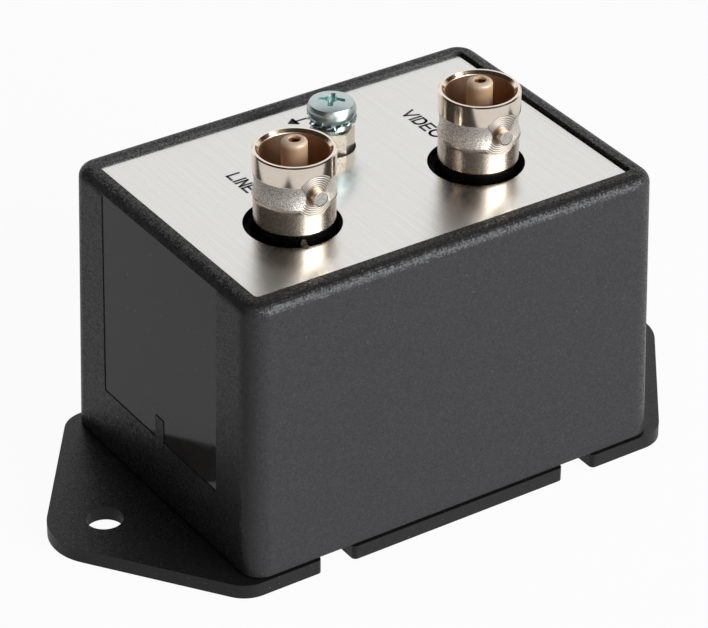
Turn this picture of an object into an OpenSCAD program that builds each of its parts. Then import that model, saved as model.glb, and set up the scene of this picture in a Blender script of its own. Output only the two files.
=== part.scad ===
/* [Enclosure] */
// Length of the enclosure at its foot
body_length = 57.2; // [56:0.1:60]
// Width of the enclosure at its foot
body_width = 41; // [40:0.1:43]
// Height of the enclosure, from foot to rim
body_height = 35.65; // [34:0.05:40]
// Draft angle of the four outer walls
draft = 1.1; // [0.5:0.1:1.5]
// Radius of the upright corners
corner_r = 2.7; // [2:0.1:3.2]
// Radius of the rounded edge round the rim
edge_r = 1.5; // [1:0.1:1.7]
// Thickness of the outer walls at the foot
wall = 2.4; // [2.2:0.1:2.8]
// Thickness of the roof under the face plate
roof = 2.2; // [1.6:0.1:3]
// Height of the lower edge of the sunk label fields above the foot
label_rise = 7.95; // [6:0.05:9]
// Height of the sunk label fields
label_height = 27; // [20:0.1:27.4]
// Width of the sunk label fields
label_width = 25.2; // [20:0.1:27]
// Depth of the sunk label fields
label_depth = 0.1; // [0.1:0.05:0.5]
// Width of the moulding gate at the foot of each label field
gate_width = 1.8; // [1.4:0.1:2.4]
// Height of the moulding gate
gate_height = 3; // [2:0.1:4]

/* [Face plate] */
// Length of the recess that holds the face plate
recess_length = 51.5; // [50.5:0.1:51.8]
// Width of the recess that holds the face plate
recess_width = 34.9; // [34:0.1:35.2]
// Depth of the face plate's surface below the rim
face_drop = 0.4; // [0.2:0.05:0.8]
// Thickness of the face plate
face_thickness = 0.8; // [0.5:0.1:1.2]
// Gap at the end where the face plate is cut short
face_gap = 0.5; // [0.1:0.05:0.9]
// Gap along the other three edges of the face plate
face_clearance = 0.05; // [0.05:0.01:0.2]
// Diameter of the holes that the connectors pass through
face_hole_d = 11.45; // [11:0.05:12]
// Distance between those holes
face_hole_pitch = 25.4; // [25:0.05:25.8]
// Diameter of the hole for the ground post
face_ground_hole_d = 6.2; // [6:0.1:7]

/* [Base plate] */
// Distance that the base plate stands out past the enclosure's long sides
base_margin = 0.3; // [0:0.05:1.5]
// Length of the straight part of its long edges
base_straight = 54.7; // [52:0.1:58]
// Thickness of the base plate
base_thickness = 1.8; // [1.6:0.1:2.6]
// Radius of the four shoulders beside the ears
shoulder_r = 4; // [3:0.1:6]
// Distance between the two mounting holes
ear_pitch = 72.2; // [70:0.1:76]
// Radius of the ears' tips round the mounting holes
ear_r = 6.75; // [5.5:0.05:8]
// Diameter of the mounting holes
ear_hole_d = 4.5; // [4:0.1:5.2]
// Height of the raised pad that the enclosure stands on
pad_height = 0.25; // [0.15:0.05:0.4]
// Distance from the enclosure's outline in to the pad's edge
pad_inset = 0.5; // [0.3:0.05:0.8]
// Height of the lip that locates the enclosure
lip_height = 1.6; // [1:0.1:2.4]
// Thickness of that lip
lip_thickness = 1.2; // [0.9:0.1:1.6]
// Width of the notches in the long edges
notch_width = 4.3; // [3:0.1:5]
// Depth of the notches
notch_depth = 3.2; // [2.9:0.1:3.4]
// Distance of the notches from the middle
notch_offset = 17.1; // [14:0.1:19]
// Radius of the notches' outer corners
notch_r = 0.6; // [0.3:0.1:0.8]

/* [Connectors] */
// Distance between the two connectors
jack_pitch = 25.4; // [25:0.05:26]
// Place of the middle between the connectors along the length
jack_mid_x = -0.4; // [-0.6:0.1:0.6]
// Place of the connectors across the width
jack_y = -5.5; // [-6:0.1:-4.8]
// Height of the connectors' rims above the face plate
jack_rise = 9.7; // [9:0.1:11]
// Diameter of the band at the rim
jack_d = 9.65; // [9.6:0.01:9.7]
// Diameter of the band at the foot
jack_foot_d = 9.5; // [9.4:0.05:9.6]
// Diameter of the neck under that band
jack_neck_d = 8.8; // [8.6:0.05:9]
// Height of the top of that neck above the face plate
jack_neck_rise = 0.95; // [0.4:0.05:1.2]
// Diameter of the bead between that band and the waist
jack_bead_d = 9.75; // [9.65:0.05:9.85]
// Diameter at the narrowest point of the waist
jack_waist_d = 9.2; // [9:0.05:9.5]
// Length of the band at the rim
jack_band = 2.6; // [2.2:0.1:3]
// Length of the waist between the bands
jack_waist = 3.1; // [2.6:0.1:3.6]
// Bore of the connectors
jack_bore_d = 8.1; // [8:0.05:8.4]
// Depth of the bore below the rim
jack_bore_depth = 8.4; // [7.5:0.1:8.8]
// Depth of the lead-in chamfer at the mouth
jack_chamfer = 0.45; // [0.3:0.05:0.8]
// Width of the square foot that stands on the circuit board
jack_foot_w = 12.7; // [12:0.1:13]
// Height of that foot
jack_foot_h = 3; // [2:0.1:3.4]
// Distance across the bayonet lugs
lug_span = 11; // [10.8:0.05:11.1]
// Diameter of the bayonet lugs
lug_d = 1.85; // [1.8:0.05:2.05]
// Depth of the lugs' centres below the rim
lug_drop = 4.05; // [3.9:0.05:4.4]
// Diameter of the milled face round each lug
spot_d = 5.2; // [4.4:0.1:5.4]
// Distance across the two milled faces
spot_span = 8.95; // [8.8:0.05:9.1]
// Diameter of the insulator's post
post_d = 3.05; // [2.9:0.05:3.3]
// Height of the insulator's post above the rim
post_rise = 1.1; // [0.5:0.1:1.4]
// Radius of the rounded end of that post
post_edge_r = 0.5; // [0.2:0.05:0.6]
// Diameter of the mouth in the end of that post
mouth_d = 1.55; // [1.4:0.05:1.7]
// Thickness of the lip round that mouth
mouth_lip = 0.3; // [0.2:0.05:0.4]
// Outer diameter of the centre contact
contact_d = 2; // [1.9:0.02:2.1]
// Bore of the centre contact
contact_bore_d = 1.35; // [1.3:0.01:1.4]
// Depth of the centre contact's end below the inside of that lip
contact_drop = 0.05; // [0:0.05:0.4]
// Width of the slots in the centre contact
contact_slot = 0.28; // [0.2:0.02:0.36]

/* [Ground terminal] */
// Place of the ground post along the length
ground_x = 0; // [-0.2:0.1:0.2]
// Place of the ground post across the width
ground_y = 6.9; // [6.5:0.1:7.4]
// Width across the flats of the ground post
hex_width = 4.76; // [4.6:0.02:4.8]
// Turn of the ground post about its own axis
hex_turn = 5.5; // [0:0.5:30]
// Height of the ground post's end above the face plate
hex_rise = 2.65; // [2.4:0.05:3.2]
// Height of the turned chamfer at the post's end
hex_chamfer = 0.2; // [0.1:0.05:0.4]
// Diameter of the terminal screw's shank
screw_d = 2.84; // [2.8:0.01:2.88]
// Length of the shank under the head
screw_length = 7.2; // [6.4:0.1:7.4]
// Diameter of the screw's head at its widest
head_d = 5.85; // [5.6:0.05:6]
// Height of the screw's head
head_height = 2.25; // [2:0.05:2.5]
// Width across the cross recess
recess_span = 3.4; // [2.8:0.1:3.6]
// Depth of the cross recess
recess_depth = 1.5; // [1:0.1:1.6]
// Turn of the cross recess
recess_turn = 50; // [0:1:90]
// Outer diameter of the split washer on the post
split_d = 5; // [4.8:0.1:5.2]
// Thickness of the split washer
split_t = 0.55; // [0.45:0.05:0.65]
// Height of the split washer's upper end above its lower end
split_lift = 0.45; // [0.2:0.05:0.6]
// Place of the split round the post
split_turn = 250; // [180:5:360]
// Outer diameter of the toothed washer under the head
tooth_washer_d = 5.9; // [5.8:0.1:6.4]
// Thickness of the toothed washer
tooth_washer_t = 0.4; // [0.3:0.05:0.5]
// Number of teeth on the toothed washer
tooth_count = 14; // [8:1:16]
// Length of those teeth
tooth_length = 0.7; // [0.5:0.1:1]
// Width of those teeth
tooth_width = 0.6; // [0.5:0.1:0.7]
// Grip of the screw that holds the post from below
post_screw_grip = 2.6; // [2:0.1:2.8]

/* [Circuit board] */
// Height of the bosses that hold the board under the roof
board_drop = 3.6; // [3.5:0.1:4]
// Thickness of the board
board_thickness = 1.6; // [1.2:0.1:2]
// Diameter of the gas tube
gas_d = 8; // [7:0.1:8.2]
// Length of the gas tube
gas_length = 6; // [5:0.1:6.4]
// Diameter of the series resistor
resistor_d = 4.4; // [3.6:0.1:4.8]
// Length of the series resistor
resistor_length = 11; // [9:0.1:12]
// Diameter of the clamp diode
clamp_d = 5.2; // [4:0.1:5.4]
// Length of the clamp diode
clamp_length = 9; // [7:0.1:9.6]
// Diameter of the steering diodes
steering_d = 2.7; // [2.2:0.1:3]
// Length of the steering diodes
steering_length = 5.2; // [4.4:0.1:6]
// Thickness of the ground bar
bar_thickness = 0.5; // [0.4:0.1:0.8]

/* [Hidden] */
$fn = 64;
// How far a cutter runs past the face that it cuts
cut = 1;
// Radial gap between pieces that go into each other
slip = 0.05;

// Levels, from the table up
foot_z = base_thickness + pad_height;
rim_z = foot_z + body_height;
face_top_z = rim_z - face_drop;
face_bottom_z = face_top_z - face_thickness;
roof_bottom_z = face_bottom_z - roof;
board_top_z = roof_bottom_z - board_drop;
board_bottom_z = board_top_z - board_thickness;
jack_rim_z = face_top_z + jack_rise;
jack_seat_z = jack_rim_z - jack_bore_depth;
hex_top_z = face_top_z + hex_rise;
washer_z = hex_top_z + split_t + split_lift;
head_z = washer_z + tooth_washer_t;

// Places that several pieces share
base_width = body_width + 2 * base_margin;
cavity_length = body_length - 2 * wall;
cavity_width = body_width - 2 * wall;
cavity_corner_r = 1.5;
boss_r = 3.1;
boss_inset = 2.6;
boss_x = cavity_length / 2 - boss_inset;
boss_y = cavity_width / 2 - boss_inset;
board_boss_r = 2.5;
board_boss_inset = 3.6;
side_boss_inset = 3.1;
board_boss_y = 3;
board_bosses = [[-cavity_length / 2 + board_boss_inset, board_boss_y],
    [cavity_length / 2 - board_boss_inset, board_boss_y],
    [jack_mid_x, -cavity_width / 2 + side_boss_inset]];
jack_x = [jack_mid_x - jack_pitch / 2, jack_mid_x + jack_pitch / 2];
jack_pin = 5.08;
jack_pin_r = 0.5;
pin_stub = 2;
pin_gap = 0.1;

// Fasteners that hold the base plate, and smaller ones that hold the board
fixing_r = 1.3;
fixing_head_r = 2.6;
fixing_grip = 9;
fixing_gap = 0.2;
fixing_sink = 0.1;
pilot_spare = 0.8;
small_fixing_r = 1;
small_fixing_head_r = 1.9;
small_fixing_head = 1.3;
small_fixing_grip = 3;
small_fixing_gap = 0.15;

function arc(cx, cy, r, from, to, steps) = [for (i = [0:steps])
    let (a = from + (to - from) * i / steps) [cx + r * cos(a), cy + r * sin(a)]];

function rounded_rect(l, w, r, steps = 6) = concat(
    arc(l / 2 - r, w / 2 - r, r, 0, 90, steps),
    arc(-l / 2 + r, w / 2 - r, r, 90, 180, steps),
    arc(-l / 2 + r, -w / 2 + r, r, 180, 270, steps),
    arc(l / 2 - r, -w / 2 + r, r, 270, 360, steps));

module slab(l, w, h, r) {
    linear_extrude(h) polygon(rounded_rect(l, w, r));
}

module at_corners(x, y) {
    for (sx = [-1, 1], sy = [-1, 1]) translate([sx * x, sy * y, 0]) children();
}

module at_jack(i) {
    translate([jack_x[i], jack_y, 0]) children();
}

module at_ground() {
    translate([ground_x, ground_y, 0]) children();
}

// A plain hole through whatever lies between two levels
module bore(r, from, to) {
    translate([0, 0, from - cut]) cylinder(r = r, h = to - from + 2 * cut);
}

// A cross-shaped recess that opens downward from the given level
module cross_below(level, span, width, depth) {
    for (a = [0, 90]) rotate(a)
        translate([-span / 2, -width / 2, level - cut]) cube([span, width, depth + cut]);
}

// Enclosure: one moulding, open below, with a recess on top for the face plate
body_shrink = 2 * (body_height - edge_r) * tan(draft);
body_facets = 48;
edge_steps = 8;
foot_land = 0.01;
recess_corner_r = 0.6;
field_corner_r = 0.25;
jack_hole_gap = 0.4;
rib_t = 1.2;
rib_reach = 1.6;
rib_x = 17;

module rounded_button() {
    rotate_extrude($fn = body_facets)
        polygon(concat([[0, 0]], arc(corner_r - edge_r, 0, edge_r, 0, 90, edge_steps), [[0, edge_r]]));
}

module outer_form() {
    hull() {
        at_corners(body_length / 2 - corner_r, body_width / 2 - corner_r)
            translate([0, 0, foot_z]) cylinder(r = corner_r, h = foot_land, $fn = body_facets);
        at_corners((body_length - body_shrink) / 2 - corner_r, (body_width - body_shrink) / 2 - corner_r)
            translate([0, 0, rim_z - edge_r]) rounded_button();
    }
}

// A sunk field that lies parallel to the drafted end wall, with the gate left standing in it.
// Its upper end runs out where the wall rounds over into the rim.
module label_field() {
    translate([body_length / 2, 0, foot_z]) rotate([0, -draft, 0])
        translate([-label_depth, 0, 0]) difference() {
            translate([0, 0, label_rise + label_height / 2]) rotate([0, 90, 0])
                slab(label_height, label_width, cut, field_corner_r);
            translate([-cut, -gate_width / 2, label_rise - cut])
                cube([3 * cut, gate_width, gate_height + cut]);
        }
}

module board_rib() {
    translate([-rib_t / 2, cavity_width / 2 - rib_reach, board_top_z])
        cube([rib_t, rib_reach + wall / 2, board_drop + roof / 2]);
}

module enclosure() {
    color("#151515") difference() {
        union() {
            difference() {
                outer_form();
                translate([0, 0, face_bottom_z])
                    slab(recess_length, recess_width, face_thickness + face_drop + cut, recess_corner_r);
                translate([0, 0, foot_z - cut])
                    slab(cavity_length, cavity_width, roof_bottom_z - foot_z + cut, cavity_corner_r);
                label_field();
                mirror([1, 0, 0]) label_field();
            }
            at_corners(boss_x, boss_y) translate([0, 0, foot_z])
                cylinder(r = boss_r, h = roof_bottom_z - foot_z + roof / 2);
            for (p = board_bosses) translate([p[0], p[1], board_top_z])
                cylinder(r = board_boss_r, h = board_drop + roof / 2);
            for (x = [-rib_x, rib_x], turn = [0, 180]) rotate(turn) translate([x, 0, 0]) board_rib();
        }
        at_corners(boss_x, boss_y) translate([0, 0, foot_z - cut])
            cylinder(r = fixing_r + slip, h = fixing_grip + pilot_spare + cut);
        for (p = board_bosses) translate([p[0], p[1], board_top_z - cut])
            cylinder(r = small_fixing_r + slip, h = small_fixing_grip + pilot_spare + cut);
        for (i = [0, 1]) at_jack(i) bore(jack_foot_d / 2 + jack_hole_gap, roof_bottom_z, face_bottom_z);
        at_ground() bore(face_ground_hole_d / 2, roof_bottom_z, face_bottom_z);
    }
}

// Base plate: shoulders and ear tips are circles joined by their common tangents
ear_x = ear_pitch / 2;
shoulder_x = base_straight / 2;
shoulder_y = base_width / 2 - shoulder_r;
shoulder_dist = norm([shoulder_x - ear_x, shoulder_y]);
ear_slant = atan2(shoulder_y, shoulder_x - ear_x) - acos((ear_r - shoulder_r) / shoulder_dist);
lip_gap = 0.1;
lip_inner_r = 0.6;
lip_boss_gap = 0.25;
fixing_wing = 2.8;
fixing_wing_t = 0.6;
fixing_wing_depth = 1.1;

function quarter_outline() = concat(
    arc(ear_x, 0, ear_r, 0, ear_slant, 10),
    arc(shoulder_x, shoulder_y, shoulder_r, ear_slant, 90, 8));

function flipped(points, sx, sy) = [for (i = [len(points) - 1:-1:0]) [sx * points[i][0], sy * points[i][1]]];

function turned(points) = [for (p = points) [-p[0], -p[1]]];

function base_outline() = let (q = quarter_outline())
    concat(q, flipped(q, -1, 1), turned(q), flipped(q, 1, -1));

function notch_outline() = concat(
    [[notch_width / 2 + notch_r, cut]],
    arc(notch_width / 2 + notch_r, -notch_r, notch_r, 90, 180, 5),
    [[notch_width / 2, -notch_depth], [-notch_width / 2, -notch_depth]],
    arc(-notch_width / 2 - notch_r, -notch_r, notch_r, 0, 90, 5),
    [[-notch_width / 2 - notch_r, cut]]);

module locating_lip() {
    difference() {
        translate([0, 0, base_thickness / 2])
            slab(cavity_length - 2 * lip_gap, cavity_width - 2 * lip_gap,
                base_thickness / 2 + pad_height + lip_height, cavity_corner_r - lip_gap);
        translate([0, 0, foot_z])
            slab(cavity_length - 2 * lip_thickness, cavity_width - 2 * lip_thickness,
                lip_height + cut, lip_inner_r);
        at_corners(boss_x, boss_y) translate([0, 0, foot_z])
            cylinder(r = boss_r + lip_boss_gap, h = lip_height + cut);
    }
}

module countersink() {
    hole_r = fixing_r + fixing_gap;
    sink_depth = fixing_head_r + fixing_sink - hole_r;
    bore(hole_r, 0, foot_z);
    translate([0, 0, -cut]) cylinder(r1 = hole_r + sink_depth + cut, r2 = hole_r, h = sink_depth + cut);
}

module base_plate() {
    color("#1b1b1b") difference() {
        union() {
            linear_extrude(base_thickness) polygon(base_outline());
            translate([0, 0, base_thickness / 2])
                slab(body_length - 2 * pad_inset, body_width - 2 * pad_inset,
                    pad_height + base_thickness / 2, corner_r - pad_inset);
            locating_lip();
        }
        for (sx = [-1, 1]) translate([sx * ear_x, 0, 0]) bore(ear_hole_d / 2, 0, base_thickness);
        for (x = [-notch_offset, notch_offset], turn = [0, 180]) rotate(turn)
            translate([x, base_width / 2, -cut]) linear_extrude(foot_z + cut) polygon(notch_outline());
        at_corners(boss_x, boss_y) countersink();
    }
}

module base_screws() {
    color("#8f9296") at_corners(boss_x, boss_y) difference() {
        translate([0, 0, fixing_sink]) {
            cylinder(r1 = fixing_head_r, r2 = fixing_r, h = fixing_head_r - fixing_r);
            cylinder(r = fixing_r, h = foot_z + fixing_grip - fixing_sink);
        }
        cross_below(0, fixing_wing, fixing_wing_t, fixing_wing_depth);
    }
}

// Face plate: a flat sheet pushed against one end of its recess
face_length = recess_length - face_gap - face_clearance;
face_mid_x = (face_clearance - face_gap) / 2;
face_corner_r = 0.5;
face_hole_shift = [-0.2, 0.1];

module face_plate() {
    color("#d8d6d2") difference() {
        translate([face_mid_x, 0, face_bottom_z])
            slab(face_length, recess_width - 2 * face_clearance, face_thickness, face_corner_r);
        for (s = [-0.5, 0.5])
            translate([jack_mid_x + face_hole_shift[0] + s * face_hole_pitch, jack_y + face_hole_shift[1], 0])
                bore(face_hole_d / 2, face_bottom_z, face_top_z);
        translate([ground_x + face_hole_shift[0], ground_y + face_hole_shift[1], 0])
            bore(face_ground_hole_d / 2, face_bottom_z, face_top_z);
    }
}

// Connector shell: a turned barrel with a waist, a neck and two bayonet lugs on a square foot
jack_facets = 96;
waist_top_z = jack_rim_z - jack_band;
waist_z = waist_top_z - jack_waist;
neck_z = face_top_z + jack_neck_rise;
waist_steps = 8;
bead_drop = 0.35;
rim_break = 0.15;
mouth_slope = 0.8;
insulator_r = 3.2;
collar_t = 1.4;
lug_root = 0.2;
foot_corner_r = 0.8;
foot_overlap = 0.2;

function waist_profile() = [for (i = [0:waist_steps]) let (t = i / waist_steps)
    [(jack_bead_d + (jack_d - jack_bead_d) * t) / 2
        - (jack_d + jack_bead_d - 2 * jack_waist_d) / 4 * sin(180 * t), waist_z + jack_waist * t]];

module jack_barrel() {
    bore_r = jack_bore_d / 2;
    rotate_extrude($fn = jack_facets) polygon(concat(
        [[insulator_r, board_top_z], [jack_neck_d / 2, board_top_z], [jack_neck_d / 2, neck_z],
            [jack_foot_d / 2, neck_z], [jack_foot_d / 2, waist_z - bead_drop]],
        waist_profile(),
        [[jack_d / 2, jack_rim_z - rim_break], [jack_d / 2 - rim_break, jack_rim_z],
            [bore_r + jack_chamfer * mouth_slope, jack_rim_z], [bore_r, jack_rim_z - jack_chamfer],
            [bore_r, jack_seat_z - collar_t], [insulator_r, jack_seat_z - collar_t]]));
}

module jack_shell() {
    lug_foot = jack_bore_d / 2 + lug_root;
    color("#c9c7c2") {
        difference() {
            jack_barrel();
            for (turn = [0, 180]) rotate(turn)
                translate([0, -spot_span / 2, jack_rim_z - lug_drop]) rotate([90, 0, 0])
                cylinder(d = spot_d, h = 2 * cut);
        }
        for (turn = [0, 180]) rotate(turn)
            translate([0, -lug_foot, jack_rim_z - lug_drop]) rotate([90, 0, 0])
            cylinder(d = lug_d, h = lug_span / 2 - lug_foot);
        difference() {
            translate([0, 0, board_top_z]) slab(jack_foot_w, jack_foot_w, jack_foot_h, foot_corner_r);
            bore(jack_neck_d / 2 - foot_overlap, board_top_z, board_top_z + jack_foot_h);
        }
        at_corners(jack_pin, jack_pin) translate([0, 0, board_bottom_z - pin_stub])
            cylinder(r = jack_pin_r, h = pin_stub + board_thickness + jack_foot_h / 2);
    }
}

// Insulator: a post inside the connector, with a collar that closes the foot of the bore
// and a lip at its end that hides the rim of the contact
post_top_z = jack_rim_z + post_rise;
insulator_lift = 0.3;
contact_gap = 0.02;

module jack_insulator() {
    collar_r = jack_bore_d / 2 - slip;
    core_r = insulator_r - slip;
    bore_r = contact_d / 2 + contact_gap;
    color("#e8e0cf") rotate_extrude($fn = jack_facets) polygon(concat(
        [[bore_r, board_top_z + insulator_lift], [core_r, board_top_z + insulator_lift],
            [core_r, jack_seat_z - collar_t + slip], [collar_r, jack_seat_z - collar_t + slip],
            [collar_r, jack_seat_z], [post_d / 2, jack_seat_z]],
        arc(post_d / 2 - post_edge_r, post_top_z - post_edge_r, post_edge_r, 0, 90, 5),
        [[mouth_d / 2, post_top_z], [mouth_d / 2, post_top_z - mouth_lip], [bore_r, post_top_z - mouth_lip]]));
}

// Centre contact: a slotted tube on a pin that goes through the board
contact_top_z = post_top_z - mouth_lip - contact_drop;
contact_lift = 0.5;
contact_bore_depth = 6.5;
slot_length = 5;

module jack_contact() {
    foot_z0 = board_top_z + contact_lift;
    color("#d9b45a") difference() {
        union() {
            translate([0, 0, foot_z0]) cylinder(d = contact_d, h = contact_top_z - foot_z0);
            translate([0, 0, board_bottom_z - pin_stub])
                cylinder(r = jack_pin_r, h = foot_z0 - board_bottom_z + pin_stub + contact_lift);
        }
        translate([0, 0, contact_top_z - contact_bore_depth])
            cylinder(d = contact_bore_d, h = contact_bore_depth + cut);
        for (a = [0, 90]) rotate(a)
            translate([-contact_d, -contact_slot / 2, contact_top_z - slot_length])
            cube([2 * contact_d, contact_slot, slot_length + cut]);
    }
}

module line_jack_shell() { at_jack(0) jack_shell(); }
module line_jack_insulator() { at_jack(0) jack_insulator(); }
module line_jack_contact() { at_jack(0) jack_contact(); }
module equipment_jack_shell() { at_jack(1) jack_shell(); }
module equipment_jack_insulator() { at_jack(1) jack_insulator(); }
module equipment_jack_contact() { at_jack(1) jack_contact(); }

// Ground post: a hexagonal pillar bored right through, with a turned chamfer at its end
hex_r = hex_width / sqrt(3);
turned_r = hex_r + 0.02;

module ground_post() {
    color("#cfcac0") at_ground() difference() {
        intersection() {
            translate([0, 0, board_top_z]) rotate(hex_turn + 30)
                linear_extrude(hex_top_z - board_top_z) circle(r = hex_r, $fn = 6);
            rotate_extrude() polygon([[0, board_top_z - cut], [turned_r, board_top_z - cut],
                [turned_r, hex_top_z - hex_chamfer], [turned_r - hex_chamfer, hex_top_z], [0, hex_top_z]]);
        }
        bore(screw_d / 2 + slip, board_top_z, hex_top_z);
    }
}

// Pan head: a bulging side and a slightly raised top, seated at zero height
head_bulge = 0.3;
head_crown = 0.4;
head_steps = 8;
wing_t = 0.64;
wing_taper = 0.4;
core_d = 1.9;
core_tip = 1.1;

function pan_profile() = let (
    side = head_height - head_crown,
    edge_r = head_d / 2 - head_bulge)
    concat([[0, 0]],
        [for (i = [0:head_steps]) let (t = i / head_steps) [edge_r + head_bulge * sin(180 * t), side * t]],
        [for (i = [1:head_steps]) let (t = 1 - i / head_steps) [edge_r * t, head_height - head_crown * t * t]]);

// Four tapered wings round a conical core
module cross_recess() {
    floor_z = head_height - recess_depth;
    intersection() {
        for (a = [0, 90]) rotate(a)
            translate([-recess_span / 2, -wing_t / 2, floor_z]) cube([recess_span, wing_t, recess_depth + cut]);
        translate([0, 0, floor_z])
            cylinder(d1 = recess_span * wing_taper, d2 = recess_span * (2 - wing_taper), h = 2 * recess_depth);
    }
    translate([0, 0, floor_z]) cylinder(d1 = core_tip, d2 = core_d, h = recess_depth + cut);
}

module pan_screw(length) {
    difference() {
        union() {
            rotate_extrude() polygon(pan_profile());
            translate([0, 0, -length]) cylinder(d = screw_d, h = length + head_height / 4);
        }
        cross_recess();
    }
}

module terminal_screw() {
    color("#b9bec4") at_ground() translate([0, 0, head_z]) rotate(recess_turn) pan_screw(screw_length);
}

// Toothed washer: teeth twisted out of the ring's plane by all that its thickness allows
washer_gap = 0.18;
tooth_root = 0.3;
ring_share = 0.7;
twist_share = 0.9;
tooth_twist = asin(twist_share * tooth_washer_t / 2 / tooth_width);

module toothed_washer() {
    ring_r = tooth_washer_d / 2 - tooth_length;
    ring_t = tooth_washer_t * ring_share;
    color("#c2c4c6") at_ground() translate([0, 0, washer_z + tooth_washer_t / 2]) {
        difference() {
            translate([0, 0, -ring_t / 2]) cylinder(r = ring_r, h = ring_t);
            bore(screw_d / 2 + washer_gap, -ring_t / 2, ring_t / 2);
        }
        for (i = [0:tooth_count - 1]) rotate(i * 360 / tooth_count)
            translate([ring_r - tooth_root, 0, 0]) rotate([tooth_twist, 0, 0])
            translate([0, -tooth_width / 2, -tooth_washer_t / 4])
            cube([tooth_length + tooth_root, tooth_width, tooth_washer_t / 2]);
    }
}

// Split washer: two half rings that tilt apart from the side opposite the split
split_gap = 3;
split_seam = 1;
split_rise = atan2(split_lift / 2, split_d);

// Half a ring that rises toward the split from its level middle on the far side
module half_ring() {
    inner_r = screw_d / 2 + washer_gap;
    translate([-split_d / 2, 0, 0]) rotate([0, -split_rise, 0]) translate([split_d / 2, 0, 0])
        rotate(split_gap) rotate_extrude(angle = 180 + split_seam - split_gap)
            translate([inner_r, -split_t / 2]) square([split_d / 2 - inner_r, split_t]);
}

module split_washer() {
    mid = (split_t + split_lift) / 2;
    color("#b4b8bd") at_ground() translate([0, 0, hex_top_z + mid]) rotate(split_turn)
        for (turn = [0, 180]) rotate([turn, 0, 0]) half_ring();
}

// Circuit board under the roof: place, body length and lead pitch of what it carries
board_gap = 0.3;
wire_r = 0.4;
wire_gap = 0.1;
wire_bend = 1;
wire_stub = 0.8;
wire_root = 0.4;
part_gap = 0.4;
gas_spot = [jack_mid_x, jack_y];
gas_leads = gas_length + 4.4;
resistor_spot = [-11.5, cavity_width / 2 - 5.6];
resistor_leads = resistor_length + 5;
clamp_spot = [-11.5, cavity_width / 2 - 13.1];
clamp_leads = clamp_length + 5;
steering_x = 11.5;
steering_y = cavity_width / 2 - 14.5;
steering_pitch = 3.8;
steering_spots = [for (i = [0:3]) [steering_x, steering_y + i * steering_pitch]];
steering_leads = steering_length + 4.6;

module board_bore(r) {
    bore(r, board_bottom_z, board_top_z);
}

module lead_holes(spot, pitch) {
    for (s = [-0.5, 0.5]) translate([spot[0] + s * pitch, spot[1], 0]) board_bore(wire_r + wire_gap);
}

module circuit_board() {
    color("#2f6b3a") difference() {
        translate([0, 0, board_bottom_z])
            slab(cavity_length - 2 * board_gap, cavity_width - 2 * board_gap, board_thickness,
                cavity_corner_r - board_gap);
        at_corners(boss_x, boss_y) board_bore(boss_r + board_gap);
        for (p = board_bosses) translate([p[0], p[1], 0]) board_bore(small_fixing_r + small_fixing_gap);
        for (i = [0, 1]) at_jack(i) {
            board_bore(jack_pin_r + pin_gap);
            at_corners(jack_pin, jack_pin) board_bore(jack_pin_r + pin_gap);
        }
        at_ground() board_bore(screw_d / 2 + fixing_gap);
        lead_holes(gas_spot, gas_leads);
        lead_holes(resistor_spot, resistor_leads);
        lead_holes(clamp_spot, clamp_leads);
        for (p = steering_spots) lead_holes(p, steering_leads);
    }
}

small_wing = 2.2;
small_wing_t = 0.44;
small_wing_depth = 0.7;

module board_screws() {
    seat_z = board_bottom_z - small_fixing_head;
    color("#8f9296") for (p = board_bosses) translate([p[0], p[1], 0]) difference() {
        translate([0, 0, seat_z]) {
            cylinder(r = small_fixing_head_r, h = small_fixing_head);
            cylinder(r = small_fixing_r, h = small_fixing_head + board_thickness + small_fixing_grip);
        }
        cross_below(seat_z, small_wing, small_wing_t, small_wing_depth);
    }
}

// Flat bar that joins the connectors' shells to the ground post under the board
bar_w = 2.6;
bar_rim = 0.3;

module ground_bar() {
    from_x = jack_x[0] + jack_pin;
    to_x = jack_x[1] - jack_pin;
    pin_y = jack_y + jack_pin;
    color("#b87444") translate([0, 0, board_bottom_z - bar_thickness]) difference() {
        union() {
            translate([from_x - bar_w / 2, pin_y - bar_w / 2, 0])
                cube([to_x - from_x + bar_w, bar_w, bar_thickness]);
            translate([ground_x - bar_w / 2, pin_y, 0]) cube([bar_w, ground_y - pin_y, bar_thickness]);
            at_ground() cylinder(r = head_d / 2 + bar_rim, h = bar_thickness);
        }
        for (x = [from_x, to_x]) translate([x, pin_y, 0]) bore(jack_pin_r + pin_gap, 0, bar_thickness);
        at_ground() bore(screw_d / 2 + fixing_gap, 0, bar_thickness);
    }
}

module ground_post_screw() {
    color("#b9bec4") at_ground() translate([0, 0, board_bottom_z - bar_thickness]) mirror([0, 0, 1])
        pan_screw(board_thickness + bar_thickness + post_screw_grip);
}

// A bent wire from the end of an axial part up through the board
module bent_lead(from_x, to_x, drop) {
    wire_top = drop + board_thickness + wire_stub;
    translate([from_x, 0, 0]) rotate([0, 90, 0]) cylinder(r = wire_r, h = to_x - from_x - wire_bend, $fn = 24);
    translate([to_x - wire_bend, 0, wire_bend]) rotate([90, 0, 0]) rotate([0, 0, -90])
        rotate_extrude(angle = 90, $fn = 48) translate([wire_bend, 0]) circle(r = wire_r, $fn = 24);
    translate([to_x, 0, wire_bend]) cylinder(r = wire_r, h = wire_top - wire_bend, $fn = 24);
}

module axial_part(spot, length, d, pitch) {
    drop = part_gap + d / 2;
    translate([spot[0], spot[1], board_bottom_z - drop]) {
        translate([-length / 2, 0, 0]) rotate([0, 90, 0]) children();
        for (turn = [0, 180]) rotate(turn) bent_lead(length / 2 - wire_root, pitch / 2, drop);
    }
}

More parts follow.
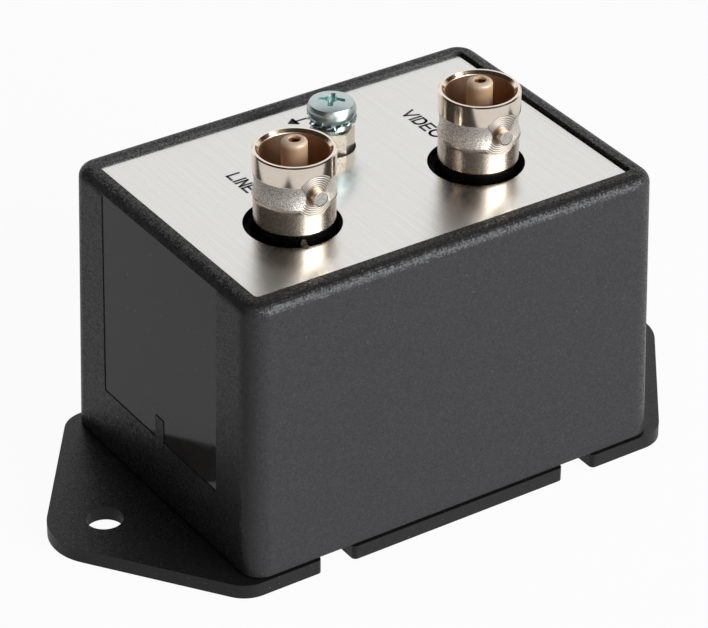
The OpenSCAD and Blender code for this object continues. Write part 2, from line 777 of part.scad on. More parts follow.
// A body of revolution along its axis with rounded shoulders
module round_body(length, d, shoulder) {
    rotate_extrude($fn = 48) polygon(concat([[0, 0]],
        arc(d / 2 - shoulder, shoulder, shoulder, -90, 0, 4),
        arc(d / 2 - shoulder, length - shoulder, shoulder, 0, 90, 4), [[0, length]]));
}

// Gas tube: a ceramic sleeve between two end caps, each with a cone that faces the other
gas_axis_z = board_bottom_z - part_gap - gas_d / 2;
cap_length = 1.3;
cap_step = 0.15;
sleeve_t = 1.2;
cone_d = 4;
cone_tip_d = 2.4;
cone_length = 1.6;

module gas_tube_body() {
    sleeve_length = gas_length - 2 * cap_length;
    color("#e9e4da") translate([gas_spot[0] - sleeve_length / 2, gas_spot[1], gas_axis_z])
        rotate([0, 90, 0]) difference() {
            cylinder(d = gas_d, h = sleeve_length);
            bore(gas_d / 2 - sleeve_t, 0, sleeve_length);
        }
}

module gas_tube_electrodes() {
    color("#bdbab4") translate([gas_spot[0], gas_spot[1], gas_axis_z])
        for (turn = [0, 180]) rotate(turn) {
            translate([gas_length / 2 - cap_length, 0, 0]) rotate([0, 90, 0]) {
                cylinder(r = gas_d / 2 - cap_step, h = cap_length);
                translate([0, 0, -cone_length]) cylinder(d1 = cone_tip_d, d2 = cone_d, h = cone_length + cap_step);
            }
            bent_lead(gas_length / 2 - wire_root, gas_leads / 2, part_gap + gas_d / 2);
        }
}

resistor_shoulder_r = 0.8;
diode_shoulder_r = 0.3;

module series_resistor() {
    color("#c9b99b") axial_part(resistor_spot, resistor_length, resistor_d, resistor_leads)
        round_body(resistor_length, resistor_d, resistor_shoulder_r);
}

module clamp_diode() {
    color("#202020") axial_part(clamp_spot, clamp_length, clamp_d, clamp_leads)
        round_body(clamp_length, clamp_d, diode_shoulder_r);
}

module steering_diodes() {
    color("#202020") for (p = steering_spots)
        axial_part(p, steering_length, steering_d, steering_leads)
        round_body(steering_length, steering_d, diode_shoulder_r);
}

enclosure();
base_plate();
base_screws();
face_plate();
line_jack_shell();
line_jack_insulator();
line_jack_contact();
equipment_jack_shell();
equipment_jack_insulator();
equipment_jack_contact();
ground_post();
ground_post_screw();
terminal_screw();
toothed_washer();
split_washer();
circuit_board();
board_screws();
ground_bar();
gas_tube_body();
gas_tube_electrodes();
series_resistor();
clamp_diode();
steering_diodes();
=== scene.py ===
import math

import bmesh
import bpy
from mathutils import Matrix, Vector


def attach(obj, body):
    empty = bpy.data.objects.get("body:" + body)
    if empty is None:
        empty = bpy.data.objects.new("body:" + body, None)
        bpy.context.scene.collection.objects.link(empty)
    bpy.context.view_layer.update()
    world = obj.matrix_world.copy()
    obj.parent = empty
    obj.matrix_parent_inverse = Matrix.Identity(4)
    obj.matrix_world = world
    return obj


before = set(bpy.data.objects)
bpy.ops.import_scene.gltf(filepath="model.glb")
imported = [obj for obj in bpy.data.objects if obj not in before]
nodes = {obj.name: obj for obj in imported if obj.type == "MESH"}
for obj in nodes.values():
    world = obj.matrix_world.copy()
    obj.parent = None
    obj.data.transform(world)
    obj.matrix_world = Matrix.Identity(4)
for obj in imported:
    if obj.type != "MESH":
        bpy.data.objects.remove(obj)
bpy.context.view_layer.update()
MM = 0.001


# Camera: turns in degrees, place and lens in millimetres

CAMERA_AZ, CAMERA_EL, CAMERA_ROLL = 33.602, 32.167, 0.294
CAMERA_AT = (-203.786, -304.750, 248.118)
SENSOR_WIDTH, LENS = 36, 184.957


def make_camera():
    az, el, roll = (math.radians(a) for a in (CAMERA_AZ, CAMERA_EL, CAMERA_ROLL))
    back = Vector((-math.sin(az) * math.cos(el), -math.cos(az) * math.cos(el), math.sin(el)))
    right = Vector((math.cos(az), -math.sin(az), 0))
    up = back.cross(right)
    x_axis = math.cos(roll) * right + math.sin(roll) * up
    y_axis = -math.sin(roll) * right + math.cos(roll) * up
    data = bpy.data.cameras.new("camera")
    data.sensor_width = SENSOR_WIDTH
    data.lens = LENS
    data.clip_start = 0.02
    data.clip_end = 20
    camera = bpy.data.objects.new("camera", data)
    place = Matrix((x_axis, y_axis, back)).transposed().to_4x4()
    place.translation = Vector(CAMERA_AT) * MM
    camera.matrix_world = place
    bpy.context.scene.collection.objects.link(camera)
    bpy.context.scene.camera = camera


# Shader building

class Shader:
    """A material with a Principled shader, and short calls for the nodes that feed it.

    Coordinates and distances run in metres, and the lengths given to these calls in millimetres.
    The colour and roughness given at the start are what a viewer without nodes shows.
    """

    def __init__(self, name, color, rough, metallic=0.0, **sockets):
        self.material = bpy.data.materials.new(name)
        self.material.use_nodes = True
        self.tree = self.material.node_tree
        self.tree.nodes.clear()
        self.out = self.tree.nodes.new("ShaderNodeOutputMaterial")
        self.bsdf = self.tree.nodes.new("ShaderNodeBsdfPrincipled")
        self.tree.links.new(self.bsdf.outputs["BSDF"], self.out.inputs["Surface"])
        self.set("Base Color", (*color, 1))
        self.set("Roughness", rough)
        self.set("Metallic", metallic)
        for socket, value in sockets.items():
            self.set(socket.replace("_", " "), value)
        coords = self.node("ShaderNodeTexCoord")
        self.place = coords.outputs["Object"]
        split = self.node("ShaderNodeSeparateXYZ", {0: self.place})
        self.x, self.y, self.z = split.outputs
        self.normal = None

    def set(self, socket, value):
        self.join(self.bsdf.inputs[socket], value)

    def join(self, socket, value):
        if isinstance(value, bpy.types.NodeSocket):
            self.tree.links.new(value, socket)
        else:
            socket.default_value = value

    def node(self, kind, inputs=None, **settings):
        made = self.tree.nodes.new(kind)
        for key, value in settings.items():
            setattr(made, key, value)
        for key, value in (inputs or {}).items():
            self.join(made.inputs[key], value)
        return made

    def math(self, operation, a, b=0.0, c=0.0):
        return self.node("ShaderNodeMath", {0: a, 1: b, 2: c}, operation=operation).outputs[0]

    def vector(self, operation, inputs):
        return self.node("ShaderNodeVectorMath", inputs, operation=operation).outputs[0]

    def stretch(self, sx, sy, sz):
        inputs = {"Vector": self.place, "Scale": (sx, sy, sz)}
        return self.node("ShaderNodeMapping", inputs).outputs[0]

    def noise(self, size, detail=2.0, at=None):
        inputs = {"Vector": at or self.place, "Scale": 1 / (size * MM), "Detail": detail}
        return self.node("ShaderNodeTexNoise", inputs).outputs[0]

    def cells(self, size):
        made = self.node("ShaderNodeTexVoronoi", {"Vector": self.place, "Scale": 1 / (size * MM)})
        return made.outputs["Distance"], made.outputs["Color"]

    def channels(self, color):
        return self.node("ShaderNodeSeparateColor", {0: color}).outputs

    def facing(self):
        """Parts of the face's own normal along X, Y and Z."""
        normal = self.node("ShaderNodeNewGeometry").outputs["True Normal"]
        return self.node("ShaderNodeSeparateXYZ", {0: normal}).outputs

    def ramp(self, value, low, high, out_low=0.0, out_high=1.0):
        inputs = {0: value, 1: low, 2: high, 3: out_low, 4: out_high}
        return self.node("ShaderNodeMapRange", inputs, interpolation_type="SMOOTHSTEP").outputs[0]

    def above(self, value, edge, soft):
        return self.ramp(value, (edge - soft) * MM, (edge + soft) * MM)

    def below(self, value, edge, soft):
        return self.ramp(value, (edge - soft) * MM, (edge + soft) * MM, 1, 0)

    def between(self, value, low, high, soft):
        return self.both(self.above(value, low, soft), self.below(value, high, soft))

    def both(self, *masks):
        product = masks[0]
        for mask in masks[1:]:
            product = self.math("MULTIPLY", product, mask)
        return product

    def either(self, a, b):
        return self.math("MAXIMUM", a, b)

    def rest(self, mask):
        return self.math("SUBTRACT", 1, mask)

    def distance(self, x=None, y=None, z=None):
        """Distance from a line along the axis that isn't given."""
        total = None
        for axis, centre in ((self.x, x), (self.y, y), (self.z, z)):
            if centre is None:
                continue
            off = self.math("SUBTRACT", axis, centre * MM)
            square = self.math("MULTIPLY", off, off)
            total = square if total is None else self.math("ADD", total, square)
        return self.math("SQRT", total)

    def mix(self, factor, a, b):
        made = self.node("ShaderNodeMix", {0: factor}, data_type="RGBA")
        for socket, color in ((6, a), (7, b)):
            linked = isinstance(color, bpy.types.NodeSocket)
            self.join(made.inputs[socket], color if linked else (*color, 1))
        return made.outputs[2]

    def blend(self, factor, a, b):
        return self.node("ShaderNodeMix", {0: factor, 2: a, 3: b}, data_type="FLOAT").outputs[0]

    def bump(self, height, depth):
        """Adds a relief whose height runs from 0 to 1 over depth."""
        inputs = {"Height": height, "Distance": depth * MM, "Strength": 1.0}
        if self.normal is not None:
            inputs["Normal"] = self.normal
        self.normal = self.node("ShaderNodeBump", inputs).outputs[0]
        self.set("Normal", self.normal)

    def emission(self, color):
        return self.node("ShaderNodeEmission", {"Color": (*color, 1), "Strength": 1.0}).outputs[0]

    def surface(self, share, first, second):
        """Shows second by share, and first by what is left."""
        mixed = self.node("ShaderNodeMixShader", {0: share, 1: first, 2: second})
        self.tree.links.new(mixed.outputs[0], self.out.inputs["Surface"])

    def give(self, *names):
        for name in names:
            for slot in nodes[name].material_slots:
                slot.link = "DATA"
                slot.material = self.material


# Enclosure and base plate: black moulding with a fine spark-eroded grain

FACE_TOP, FACE_LOW = 37.3, 36.5
FIELD_X, FIELD_Y, FIELD_LOW, FIELD_HIGH = 27.25, 12.6, 10.0, 37.2
GATE_Y, GATE_LOW, GATE_HIGH = 0.9, 9.0, 13.0
FLOW_NEAR, FLOW_FAR, FLOW_WANDER = 5.2, 5.6, 1.2
# Box of the enclosure's roof under the face plate, which is painted near-black as shade
RECESS_X, RECESS_Y, RECESS_LOW = 22, 14, 30
FIELD_EDGE = 0.02
GRAIN_DEPTH = 0.006


def grain(shader, mask=1.0, size=0.17, tilt=0.42):
    """Skin of tiny facets, each tilted its own way, over a soft relief.

    Returns the channels of the facets' random colour.
    """
    tint = shader.cells(size)[1]
    lean = shader.vector("SUBTRACT", {0: tint, 1: (0.5, 0.5, 0.5)})
    lean = shader.vector("SCALE", {0: lean, "Scale": shader.math("MULTIPLY", mask, tilt)})
    facing = shader.node("ShaderNodeNewGeometry").outputs["Normal"]
    shader.normal = shader.vector("NORMALIZE", {0: shader.vector("ADD", {0: facing, 1: lean})})
    shader.bump(shader.both(shader.noise(0.4, 1.0), mask), GRAIN_DEPTH)
    return shader.channels(tint)


def specks(shader, base, fleck, size=0.9, share=0.22):
    """Pale dust grains of several sizes."""
    distance, tint = shader.cells(size)
    pick, width, light = list(shader.channels(tint))[:3]
    chosen = shader.ramp(pick, 1 - share, 1 - share + 0.01)
    dot = shader.math("LESS_THAN", distance, shader.ramp(width, 0, 1, 0.05, 0.11))
    return shader.mix(shader.both(dot, chosen, shader.ramp(light, 0, 1, 0.25, 1.0)), base, fleck)


def enclosure_material():
    s = Shader("enclosure_moulding", (0.022, 0.022, 0.022), 0.46, Specular_IOR_Level=0.17)
    end = s.above(s.math("ABSOLUTE", s.x), FIELD_X, 0.05)
    across = s.between(s.y, -FIELD_Y, FIELD_Y, FIELD_EDGE)
    field = s.both(end, across, s.between(s.z, FIELD_LOW, FIELD_HIGH, FIELD_EDGE))
    facing_x, _, facing_z = s.facing()
    endward = s.math("ABSOLUTE", facing_x)
    flat = s.ramp(endward, 0.995, 0.999)
    gate_across = s.between(s.y, -GATE_Y, GATE_Y, FIELD_EDGE)
    gate = s.both(gate_across, s.between(s.z, GATE_LOW, GATE_HIGH, FIELD_EDGE))
    smooth = s.both(field, flat, s.rest(gate))
    wander = s.math("MULTIPLY", s.noise(3.0, 2.0), FLOW_WANDER * MM)
    from_gate = s.math("ADD", s.distance(y=0, z=FIELD_LOW), wander)
    flow = s.math("MULTIPLY", s.between(from_gate, FLOW_NEAR, FLOW_FAR, 0.25), 0.5)
    tints = grain(s, s.both(s.rest(smooth), s.blend(end, 1.0, 0.5)))
    skin = s.mix(s.noise(7, 3.0), (0.037, 0.0362, 0.0380), (0.043, 0.0420, 0.0440))
    skin = s.mix(tints[1], skin, (0.048, 0.0470, 0.0490))
    # Painted shade: faces turned toward the ends are darkened
    skin = s.mix(s.both(s.ramp(endward, 0.8, 0.98), 0.45), skin, (0.018, 0.0120, 0.0110))
    polished = s.mix(flow, (0.046, 0.0425, 0.0410), (0.028, 0.0260, 0.0250))
    skin = s.mix(smooth, skin, polished)
    # Painted shade: faces that look upward are darkened
    skin = s.mix(s.ramp(facing_z, 0.6, 0.95), skin, (0.020, 0.0180, 0.0172))
    skin = specks(s, skin, (0.13, 0.13, 0.125))
    skin = specks(s, skin, (0.16, 0.15, 0.14), 0.45, 0.10)
    # Painted shade: the enclosure's roof under the face plate, seen through the gaps round the
    # holes, is coloured near-black
    recess_shade = s.both(s.between(s.x, -RECESS_X, RECESS_X, 0.05),
        s.between(s.y, -RECESS_Y, RECESS_Y, 0.05),
        s.between(s.z, RECESS_LOW, FACE_LOW + 0.02, 0.01))
    s.set("Base Color", s.mix(recess_shade, skin, (0.002, 0.002, 0.002)))
    rough = s.blend(smooth, s.blend(tints[2], 0.42, 0.22), 0.09)
    s.set("Roughness", s.blend(recess_shade, rough, 0.95))
    s.give("enclosure")


def base_material():
    s = Shader("base_moulding", (0.014, 0.014, 0.014), 0.46, Specular_IOR_Level=0.30)
    tints = grain(s, size=0.12, tilt=0.16)
    skin = s.mix(s.noise(6, 3.0), (0.0045, 0.0040, 0.0037), (0.0070, 0.0064, 0.0060))
    skin = s.mix(tints[1], skin, (0.0110, 0.0102, 0.0096))
    skin = specks(s, skin, (0.26, 0.23, 0.20), 0.8, 0.28)
    s.set("Base Color", specks(s, skin, (0.36, 0.31, 0.26), 0.4, 0.14))
    s.set("Roughness", s.blend(tints[2], 0.46, 0.34))
    s.give("base_plate")


# Face plate: brushed along Y

def face_material():
    s = Shader("brushed_aluminium", (0.78, 0.775, 0.75), 0.30, 1.0, Anisotropic=0.7)
    s.set("Tangent", s.node("ShaderNodeCombineXYZ", {0: 1.0, 1: 0.0, 2: 0.0}).outputs[0])
    hair = s.noise(0.09, 2.0, at=s.stretch(1, 0.010, 1))
    streak = s.noise(0.35, 2.0, at=s.stretch(1, 0.015, 1))
    cloud = s.noise(6.0, 2.0, at=s.stretch(1, 0.5, 1))
    tone = s.mix(hair, (0.67, 0.665, 0.64), (0.79, 0.785, 0.76))
    tone = s.mix(s.ramp(streak, 0.35, 0.65, 0.0, 0.18), tone, (0.66, 0.655, 0.63))
    pits_at, pits_tint = s.cells(0.75)
    pick = s.ramp(s.channels(pits_tint)[0], 0.80, 0.81)
    pit = s.both(pick, s.math("LESS_THAN", pits_at, 0.09))
    s.set("Base Color", s.mix(s.math("MULTIPLY", pit, 0.35), tone, (0.38, 0.36, 0.32)))
    s.set("Roughness", s.blend(cloud, s.blend(streak, 0.17, 0.26), 0.24))
    s.bump(hair, 0.005)
    s.bump(streak, 0.003)
    s.give("face_plate")


# Connectors: nickel plate, dull at the waist, milled round the lugs

LINE_JACK_X, EQUIPMENT_JACK_X, JACK_Y = -13.1, 12.3, -5.5
NECK_TOP, WAIST_LOW, WAIST_HIGH, BEVEL_LOW = 38.2, 41.55, 44.4, 46.525
BORE_R, BEVEL_R = 4.11, 4.42
LUG_Z, LUG_ROOT, LUG_END = 42.95, 4.54, 5.47
SPOT_R, LUG_R, LUG_FACE_R = 2.58, 1.075, 0.75
RING_PITCH = 0.26


def jack_material(name, node, centre_x):
    s = Shader(name, (0.60, 0.51, 0.42), 0.12, 1.0)
    radius = s.distance(x=centre_x, y=JACK_Y)
    from_lug = s.distance(x=centre_x, z=LUG_Z)
    outward = s.math("ABSOLUTE", s.math("SUBTRACT", s.y, JACK_Y * MM))

    foot = s.below(s.z, WAIST_LOW, 0.05)
    shaded_neck = s.below(s.z, NECK_TOP, 0.02)
    inside = s.below(radius, BORE_R, 0.02)
    bevel = s.both(s.below(radius, BEVEL_R, 0.02), s.above(s.z, BEVEL_LOW, 0.025))
    milled = s.both(s.above(outward, BEVEL_R, 0.02), s.below(from_lug, SPOT_R, 0.02))
    lug_side = s.both(s.above(outward, LUG_ROOT, 0.02), s.below(from_lug, LUG_R, 0.025))
    lug_face = s.both(s.above(outward, LUG_END, 0.01), s.below(from_lug, LUG_FACE_R, 0.03))
    spot = s.both(milled, s.rest(lug_side))
    outer = s.rest(s.either(inside, bevel))
    waist = s.between(s.z, WAIST_LOW, WAIST_HIGH, 0.06)
    dull = s.both(waist, outer, s.rest(milled))
    lug_shade = s.both(spot, s.below(s.x, centre_x - 0.1, 0.4), s.below(from_lug, 1.35, 0.25))

    cast = s.ramp(s.noise(0.15, 2.0), 0.3, 0.7)
    wave = s.math("SINE", s.math("MULTIPLY", from_lug, 2 * math.pi / (RING_PITCH * MM)))
    rings = s.math("MULTIPLY_ADD", wave, 0.5, 0.5)
    painted_glint = s.ramp(s.noise(0.22, 1.0), 0.60, 0.66)

    tone = s.mix(s.noise(1.5, 2.0), (0.78, 0.68, 0.58), (0.87, 0.77, 0.67))
    # Painted shade: the foot below the waist gets a darker copy of the nickel tone
    tone = s.mix(foot, tone, (0.54, 0.46, 0.385))
    tone = s.mix(dull, tone, s.mix(cast, (0.44, 0.385, 0.335), (0.96, 0.91, 0.85)))
    tone = s.mix(spot, tone, s.mix(rings, (0.66, 0.62, 0.57), (0.20, 0.16, 0.125)))
    # Painted shade on the milled spot face, round the left side of the lug's root
    tone = s.mix(lug_shade, tone, (0.16, 0.115, 0.08))
    tone = s.mix(lug_side, tone, (0.84, 0.70, 0.56))
    tone = s.mix(lug_face, tone, s.mix(cast, (0.28, 0.265, 0.245), (0.50, 0.49, 0.47)))
    # Painted glints: bright patches coloured into the bevel round the mouth
    tone = s.mix(bevel, tone, s.mix(painted_glint, (0.80, 0.66, 0.52), (0.95, 0.88, 0.78)))
    tone = s.mix(inside, tone, (0.70, 0.49, 0.34))
    # Painted shade: the shell's neck, down in the face plate's hole, is coloured near-black
    dark = s.mix(s.noise(1.2, 2.0), (0.035, 0.030, 0.026), (0.06, 0.052, 0.045))
    s.set("Base Color", s.mix(s.both(shaded_neck, outer), tone, dark))

    rough = s.blend(s.noise(0.9, 2.0), 0.11, 0.17)
    rough = s.blend(foot, rough, s.blend(s.noise(0.5, 2.0), 0.25, 0.29))
    rough = s.blend(dull, rough, s.blend(cast, 0.46, 0.36))
    for mask, value in ((spot, 0.30), (lug_side, 0.10), (lug_face, 0.42), (bevel, 0.12)):
        rough = s.blend(mask, rough, value)
    s.set("Roughness", s.blend(inside, rough, 0.36))

    s.bump(s.both(cast, dull), 0.028)
    s.bump(s.both(rings, spot), 0.030)
    s.bump(s.both(s.noise(0.12, 2.0), bevel), 0.004)
    s.bump(s.both(s.noise(0.5, 2.0), foot), 0.002)
    s.give(node)


def insulator_material():
    s = Shader("insulator_resin", (0.52, 0.33, 0.19), 0.35, Subsurface_Weight=0.45,
        Subsurface_Radius=(0.0016, 0.0009, 0.0005))
    cloud = s.noise(1.6, 3.0)
    tone = s.mix(cloud, (0.46, 0.295, 0.175), (0.57, 0.38, 0.235))
    # Painted highlight: the top of the insulator is coloured lighter
    crown_highlight = s.above(s.z, 47.65, 0.45)
    s.set("Base Color", s.mix(crown_highlight, tone, (0.78, 0.60, 0.43)))
    s.set("Roughness", s.blend(cloud, 0.28, 0.40))
    s.bump(s.noise(0.2, 2.0), 0.003)
    s.give("line_jack_insulator", "equipment_jack_insulator")


# Ground screw, and the materials of the smaller pieces

GROUND_X, GROUND_Y = 0.0, 6.9
CROSS_TOP, CROSS_R = 43.23, 1.825


def screw_material():
    s = Shader("screw_zinc", (0.68, 0.70, 0.70), 0.26, 1.0)
    radius = s.distance(x=GROUND_X, y=GROUND_Y)
    cross = s.both(s.below(s.z, CROSS_TOP, 0.03), s.below(radius, CROSS_R, 0.025))
    tone = s.mix(s.noise(0.8, 3.0), (0.45, 0.53, 0.53), (0.54, 0.62, 0.62))
    # Painted highlight: the cross recess is coloured a brighter teal than the head
    s.set("Base Color", s.mix(cross, tone, (0.55, 0.86, 0.82)))
    s.set("Roughness", s.blend(cross, s.blend(s.noise(0.6, 3.0), 0.26, 0.36), 0.34))
    s.bump(s.noise(0.12, 2.0), 0.0015)
    s.give("terminal_screw")


def metal(name, color, rough, *names):
    s = Shader(name, color, rough, 1.0)
    light = tuple(min(1.0, c * 1.08) for c in color)
    s.set("Base Color", s.mix(s.noise(0.8, 3.0), color, light))
    s.set("Roughness", s.blend(s.noise(0.6, 3.0), rough * 0.8, rough * 1.25))
    s.bump(s.noise(0.25, 2.0), 0.0012)
    s.give(*names)
    return s


def plain(name, color, rough, *names):
    s = Shader(name, color, rough)
    dark = tuple(c * 0.88 for c in color)
    s.set("Base Color", s.mix(s.noise(2.4, 3.0), dark, color))
    s.set("Roughness", s.blend(s.noise(1.2, 2.0), rough * 0.85, rough * 1.15))
    s.bump(s.noise(0.4, 2.0), 0.004)
    s.give(*names)


def make_materials():
    enclosure_material()
    base_material()
    face_material()
    jack_material("line_jack_nickel", "line_jack_shell", LINE_JACK_X)
    jack_material("equipment_jack_nickel", "equipment_jack_shell", EQUIPMENT_JACK_X)
    insulator_material()
    gold = metal("contact_gold", (0.98, 0.64, 0.24), 0.18,
        "line_jack_contact", "equipment_jack_contact")
    gold.bump(gold.noise(0.25, 1.0), 0.06)
    metal("post_nickel", (0.80, 0.71, 0.60), 0.28, "ground_post")
    screw_material()
    metal("fastener_zinc", (0.66, 0.69, 0.70), 0.26,
        "ground_post_screw", "base_screws", "board_screws")
    metal("washer_plate", (0.46, 0.52, 0.53), 0.30, "toothed_washer", "split_washer")
    plain("board_mask", (0.03, 0.17, 0.07), 0.35, "circuit_board")
    metal("bar_copper", (0.80, 0.44, 0.26), 0.3, "ground_bar")
    plain("tube_ceramic", (0.85, 0.82, 0.76), 0.25, "gas_tube_body")
    metal("electrode_tin", (0.66, 0.65, 0.62), 0.3, "gas_tube_electrodes")
    plain("resistor_lacquer", (0.62, 0.52, 0.36), 0.4, "series_resistor")
    plain("diode_resin", (0.03, 0.03, 0.03), 0.4, "clamp_diode", "steering_diodes")


def add_object(name, mesh, material):
    mesh.materials.append(material)
    made = bpy.data.objects.new(name, mesh)
    bpy.context.scene.collection.objects.link(made)
    return made


def add_piece(name, bm, material):
    """Makes a piece of the housing from bm, and frees bm."""
    bmesh.ops.recalc_face_normals(bm, faces=bm.faces)
    mesh = bpy.data.meshes.new(name)
    bm.to_mesh(mesh)
    bm.free()
    piece = add_object(name, mesh, material)
    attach(piece, "housing")


# Print on the face plate, as thin raised ink

INK_T, INK_W = 0.015, 0.31
CAP, LETTER_GAP = 1.56, 0.48
LINE_AT, VIDEO_AT, ARROW_AT = (-14.11, 7.42), (11.24, 8.87), (-1.4, 14.1)


def bend(cx, cy, rx, ry, start, end, steps=8):
    angles = [math.radians(start + (end - start) * i / steps) for i in range(steps + 1)]
    return [(cx + rx * math.cos(a), cy + ry * math.sin(a)) for a in angles]


# Width of each capital, and the points of its strokes
GLYPHS = {
    "L": (1.0, [[(0, CAP), (0, 0), (1.0, 0)]]),
    "I": (0.0, [[(0, 0), (0, CAP)]]),
    "N": (0.85, [[(0, 0), (0, CAP), (0.85, 0), (0.85, CAP)]]),
    "E": (1.1, [[(1.1, CAP), (0, CAP), (0, 0), (1.1, 0)], [(0, CAP / 2), (1.0, CAP / 2)]]),
    "V": (1.35, [[(0, CAP), (0.67, 0), (1.35, CAP)]]),
    "D": (1.1, [[(0.5, 0), (0, 0), (0, CAP), (0.5, CAP)],
        bend(0.5, CAP / 2, 0.6, CAP / 2, 90, -90)]),
    "O": (1.5, [bend(0.75, CAP / 2, 0.75, CAP / 2, 0, 360, 20)]),
}
# Lines across the arrow's head: distance from its tip, and half the line's length
ARROW_HEAD = ((0.12, 0.02), (0.30, 0.14), (0.50, 0.28), (0.70, 0.42), (0.86, 0.54), (0.98, 0.62))
ARROW_SHAFT = [(0.0, 0.9), (0.05, 3.0)]


def word(text):
    strokes, at = [], 0.0
    for letter in text:
        width, lines = GLYPHS[letter]
        strokes += [[(at + x, y) for x, y in line] for line in lines]
        at += width + LETTER_GAP
    return strokes


def stroke(bm, points):
    """A flat ribbon of ink along the points, with square ends."""
    for a, b in zip(points, points[1:]):
        a, b = Vector((*a, 0)) * MM, Vector((*b, 0)) * MM
        along = (b - a).normalized() * (INK_W / 2 * MM)
        across = Vector((-along.y, along.x, 0))
        corners = (a - along - across, b + along - across, b + along + across, a - along + across)
        face = bm.faces.new([bm.verts.new(p) for p in corners])
        raised = bmesh.ops.extrude_face_region(bm, geom=[face])["geom"]
        top = [v for v in raised if isinstance(v, bmesh.types.BMVert)]
        bmesh.ops.translate(bm, vec=(0, 0, INK_T * MM), verts=top)


def add_print(name, strokes, place, ink):
    """Strokes run along -Y with their tops toward +X, as they read on the plate."""
    bm = bmesh.new()
    for points in strokes:
        stroke(bm, [(place[0] + h, place[1] - w) for w, h in points])
    bmesh.ops.translate(bm, vec=(0, 0, FACE_TOP * MM), verts=bm.verts)
    add_piece(name, bm, ink)


def make_print():
    s = Shader("black_ink", (0.02, 0.018, 0.016), 0.45)
    s.set("Base Color", s.mix(s.noise(0.3, 2.0), (0.012, 0.011, 0.010), (0.035, 0.032, 0.028)))
    s.set("Roughness", s.blend(s.noise(0.5, 2.0), 0.38, 0.55))
    s.bump(s.noise(0.15, 2.0), 0.002)
    add_print("print_line", word("LINE"), LINE_AT, s.material)
    add_print("print_video", word("VIDEO"), VIDEO_AT, s.material)
    head = [[(w, h), (-w, h)] for h, w in ARROW_HEAD]
    add_print("print_ground", head + [ARROW_SHAFT], ARROW_AT, s.material)


# Shred of moulding skin that hangs over the edge of the left hole

SHRED_TOWARD = 249.5
SHRED_T = 0.07
# Cross-sections: distance from the connector's axis, height, width
SHRED = ((6.15, 37.34, 0.45), (5.75, 37.42, 0.70), (5.35, 37.40, 0.62),
    (4.98, 37.46, 0.75), (4.62, 37.62, 0.30))


def make_shred():
    s = Shader("shred_moulding", (0.1, 0.08, 0.06), 0.35)
    s.set("Base Color", s.mix(s.noise(0.4, 2.0), (0.035, 0.025, 0.018), (0.11, 0.085, 0.065)))
    s.set("Roughness", s.blend(s.noise(0.3, 2.0), 0.22, 0.42))
    s.bump(s.noise(0.2, 2.0), 0.03)
    a = math.radians(SHRED_TOWARD)
    out, across = Vector((math.cos(a), math.sin(a), 0)), Vector((-math.sin(a), math.cos(a), 0))
    centre, thick = Vector((LINE_JACK_X, JACK_Y, 0)), Vector((0, 0, -SHRED_T))
    bm = bmesh.new()
    rings = []
    for i, (reach, z, width) in enumerate(SHRED):
        sway = 0.12 * math.sin(2.1 * i)
        middle = centre + out * reach + across * sway + Vector((0, 0, z))
        half = across * width / 2 - Vector((0, 0, 0.06 * math.cos(1.7 * i)))
        corners = (middle - half, middle + half, middle + half + thick, middle - half + thick)
        rings.append([bm.verts.new(c * MM) for c in corners])
    for low, high in zip(rings, rings[1:]):
        for k in range(4):
            bm.faces.new((low[k], low[(k + 1) % 4], high[(k + 1) % 4], high[k]))
    bm.faces.new(rings[0][::-1])
    bm.faces.new(rings[-1])
    add_piece("hole_shred", bm, s.material)


# Floor, studio and lamps, in metres

FLOOR_HALF, FLOOR_GAP = 4.0, 0.00003
FLOOR_WHITE, FLOOR_MIRRORED = 0.95, 0.55
SCREEN_RADIUS = 2.4
SCREEN_DARK = (0.038, 0.030, 0.024)
OPEN_TOWARD, OPEN_FROM, OPEN_TO = 56.0, 0.36, 0.66
ROOM = 0.07
LAMPS_AIM = (0, 0, 0.03)
KEY_AT, KEY_SIZE = (0.34, -0.94, 0.52), (0.95, 0.5)


def seen_directly(tree, direct=1.0, mirrored=1.0):
    """Shares for rays from the camera and off metal or glass; 0 for light that falls on things."""
    ray = tree.nodes.new("ShaderNodeLightPath")
    total = None
    for name, share in (("Is Camera Ray", direct), ("Is Glossy Ray", mirrored),
            ("Is Transmission Ray", direct)):
        part = tree.nodes.new("ShaderNodeMath")
        part.operation = "MULTIPLY"
        tree.links.new(ray.outputs[name], part.inputs[0])
        part.inputs[1].default_value = share
        if total is None:
            total = part.outputs[0]
            continue
        most = tree.nodes.new("ShaderNodeMath")
        most.operation = "MAXIMUM"
        tree.links.new(total, most.inputs[0])
        tree.links.new(part.outputs[0], most.inputs[1])
        total = most.outputs[0]
    return total


def make_floor():
    s = Shader("floor_white", (0.9, 0.9, 0.9), 0.9, Specular_IOR_Level=0.0)
    share = seen_directly(s.tree, FLOOR_WHITE, FLOOR_MIRRORED)
    s.surface(share, s.bsdf.outputs[0], s.emission((1, 1, 1)))
    h = FLOOR_HALF
    mesh = bpy.data.meshes.new("floor")
    mesh.from_pydata([(-h, -h, 0), (h, -h, 0), (h, h, 0), (-h, h, 0)], [], [(0, 1, 2, 3)])
    floor = add_object("floor", mesh, s.material)
    floor.location.z = -FLOOR_GAP


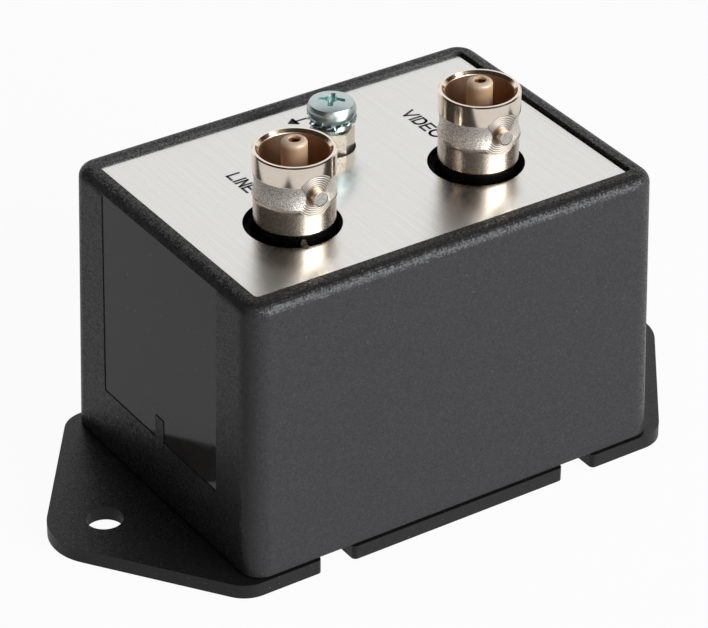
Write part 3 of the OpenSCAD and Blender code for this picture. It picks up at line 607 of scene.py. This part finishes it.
def make_screen():
    """The unlit side of the studio, which only shows in reflections and opens to the backdrop."""
    s = Shader("studio_dark", SCREEN_DARK, 1.0)
    a = math.radians(OPEN_TOWARD)
    toward = s.math("ADD", s.math("MULTIPLY", s.x, math.cos(a) / SCREEN_RADIUS),
        s.math("MULTIPLY", s.y, math.sin(a) / SCREEN_RADIUS))
    clear = s.node("ShaderNodeBsdfTransparent")
    s.surface(s.ramp(toward, OPEN_FROM, OPEN_TO), s.emission(SCREEN_DARK), clear.outputs[0])
    bm = bmesh.new()
    bmesh.ops.create_uvsphere(bm, u_segments=48, v_segments=24, radius=SCREEN_RADIUS)
    under = [v for v in bm.verts if v.co.z < -0.01]
    bmesh.ops.delete(bm, geom=under, context="VERTS")
    mesh = bpy.data.meshes.new("screen")
    bm.to_mesh(mesh)
    bm.free()
    screen = add_object("screen", mesh, s.material)
    screen.visible_camera = False
    screen.visible_diffuse = False
    screen.visible_shadow = False


def make_world():
    world = bpy.data.worlds.new("studio")
    bpy.context.scene.world = world
    world.use_nodes = True
    tree = world.node_tree
    tree.nodes.clear()
    out = tree.nodes.new("ShaderNodeOutputWorld")
    pick = tree.nodes.new("ShaderNodeMixShader")
    tree.links.new(seen_directly(tree), pick.inputs[0])
    for socket, level in ((1, ROOM), (2, 1)):
        background = tree.nodes.new("ShaderNodeBackground")
        background.inputs["Color"].default_value = (level, level, level, 1)
        tree.links.new(background.outputs[0], pick.inputs[socket])
    tree.links.new(pick.outputs[0], out.inputs["Surface"])


def area_light(name, place, size, watts, color=(1, 1, 1), mirrored=True, falls=True):
    """A lamp that shows in reflections where mirrored, and lights matt surfaces where it falls."""
    data = bpy.data.lights.new(name, "AREA")
    data.shape = "RECTANGLE"
    data.size, data.size_y = size
    data.energy = watts
    data.color = color
    light = bpy.data.objects.new(name, data)
    light.location = place
    aim = Vector(LAMPS_AIM) - Vector(place)
    light.rotation_euler = aim.to_track_quat("-Z", "Y").to_euler()
    light.visible_camera = False
    light.visible_glossy = mirrored
    light.visible_diffuse = falls
    bpy.context.scene.collection.objects.link(light)


def make_stage():
    make_floor()
    make_screen()
    make_world()
    area_light("back", (0.35, 0.75, 0.95), (1.7, 1.2), 1.0, mirrored=False)
    area_light("overhead", (-0.2, 0.0, 1.4), (0.9, 0.9), 0.9)
    area_light("key", KEY_AT, KEY_SIZE, 9.0, (0.96, 0.98, 1.0))
    area_light("glare", KEY_AT, KEY_SIZE, 25.0, (0.94, 0.97, 1.0), falls=False)
    area_light("front", (0.6, -1.15, 0.22), (1.0, 0.3), 8.0)
    bpy.context.scene.view_settings.view_transform = "Standard"


make_camera()
make_stage()
make_materials()
make_print()
make_shred()
